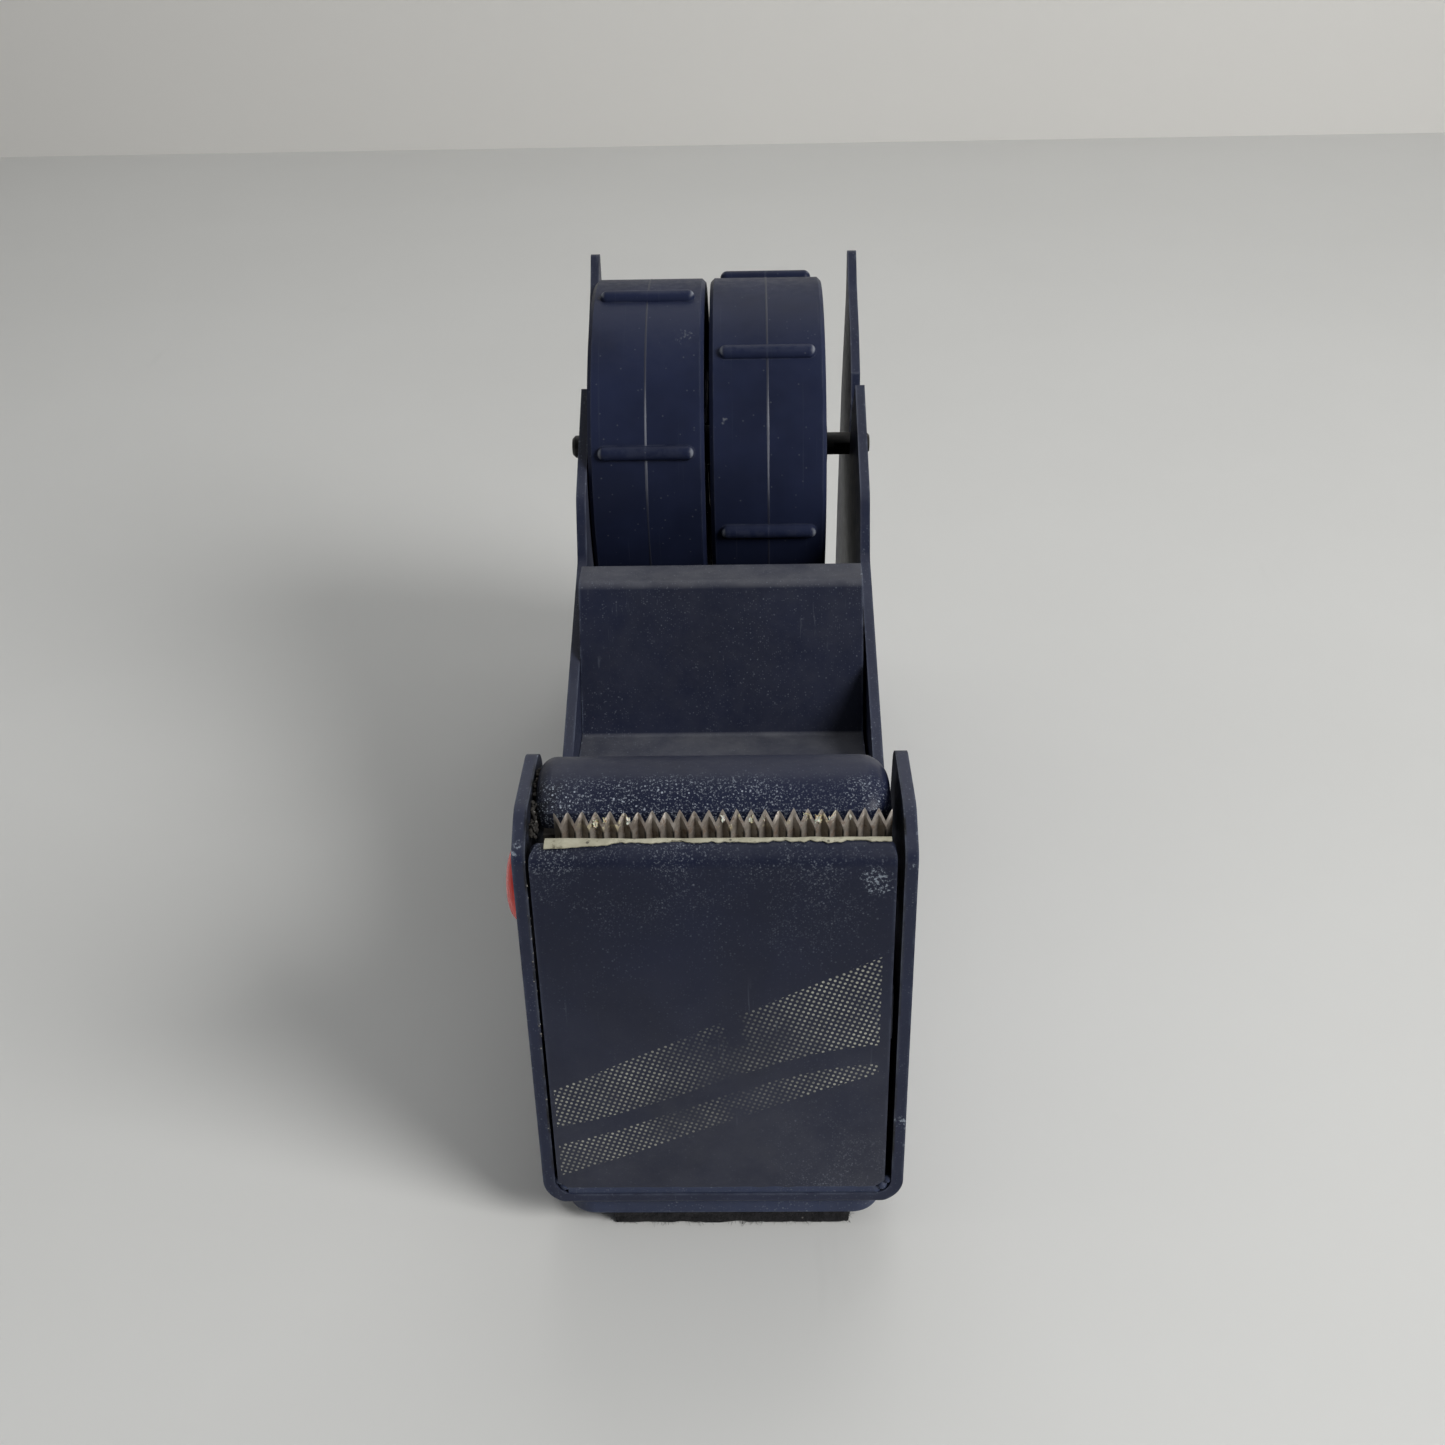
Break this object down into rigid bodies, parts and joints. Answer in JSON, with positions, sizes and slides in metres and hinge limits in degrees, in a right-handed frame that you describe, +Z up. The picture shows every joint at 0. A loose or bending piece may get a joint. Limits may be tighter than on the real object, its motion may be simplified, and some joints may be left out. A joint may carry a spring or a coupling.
{
  "type": "tape dispenser",
  "caption": "Bench-top carton tape dispenser: bent steel channel, pleated cutter and tape rest at the front, twin roll hubs on a lift-out axle.",
  "frame": {"origin": "middle of the felt foot's lower face, midway between the cheeks and midway along the channel", "axes": "+X to the right seen from the front, +Y from the cutter towards the roll, +Z up"},
  "size_m": [0.067, 0.2079, 0.1196],
  "materials": {
    "navy_coat": "worn powder coat",
    "hub_plastic": "moulded satin",
    "blade_steel": "stained",
    "black_steel": "blackened",
    "zinc": "zinc plated",
    "cast_iron": "as cast",
    "felt": "felt",
    "packing": "aged",
    "red_plastic": "glossy"
  },
  "bodies": {
    "body": {"frame_channel": "navy_coat", "plinth_plate": "navy_coat", "felt_foot": "felt", "plinth_screws": "zinc", "plinth_nuts": "zinc", "ballast_block": "cast_iron", "ballast_screws": "zinc", "deck_cover": "navy_coat", "deck_screws": "zinc", "front_panel": "navy_coat", "panel_weld_nuts": "navy_coat", "blade": "blade_steel", "blade_packing": "packing", "head_block": "cast_iron", "tape_rest": "navy_coat", "clamp_screws": "zinc", "tie_bolt": "zinc", "bolt_cap": "red_plastic"},
    "axle": {"axle": "black_steel"},
    "left_hub": {"left_hub_outer_half": "hub_plastic", "left_hub_inner_half": "hub_plastic"},
    "right_hub": {"right_hub_inner_half": "hub_plastic", "right_hub_outer_half": "hub_plastic"}
  },
  "joints": [
    {"name": "axle_lift", "type": "slide", "parent": "body", "child": "axle", "axis": [0, -0.4478, 0.8942], "range_m": [0, 0.05]},
    {"name": "left_hub_spin", "type": "hinge", "parent": "axle", "child": "left_hub", "pos_m": [0, 0.051, 0.082], "axis": [1, 0, 0], "continuous": true},
    {"name": "right_hub_spin", "type": "hinge", "parent": "axle", "child": "right_hub", "pos_m": [0, 0.051, 0.082], "axis": [1, 0, 0], "continuous": true}
  ]
}
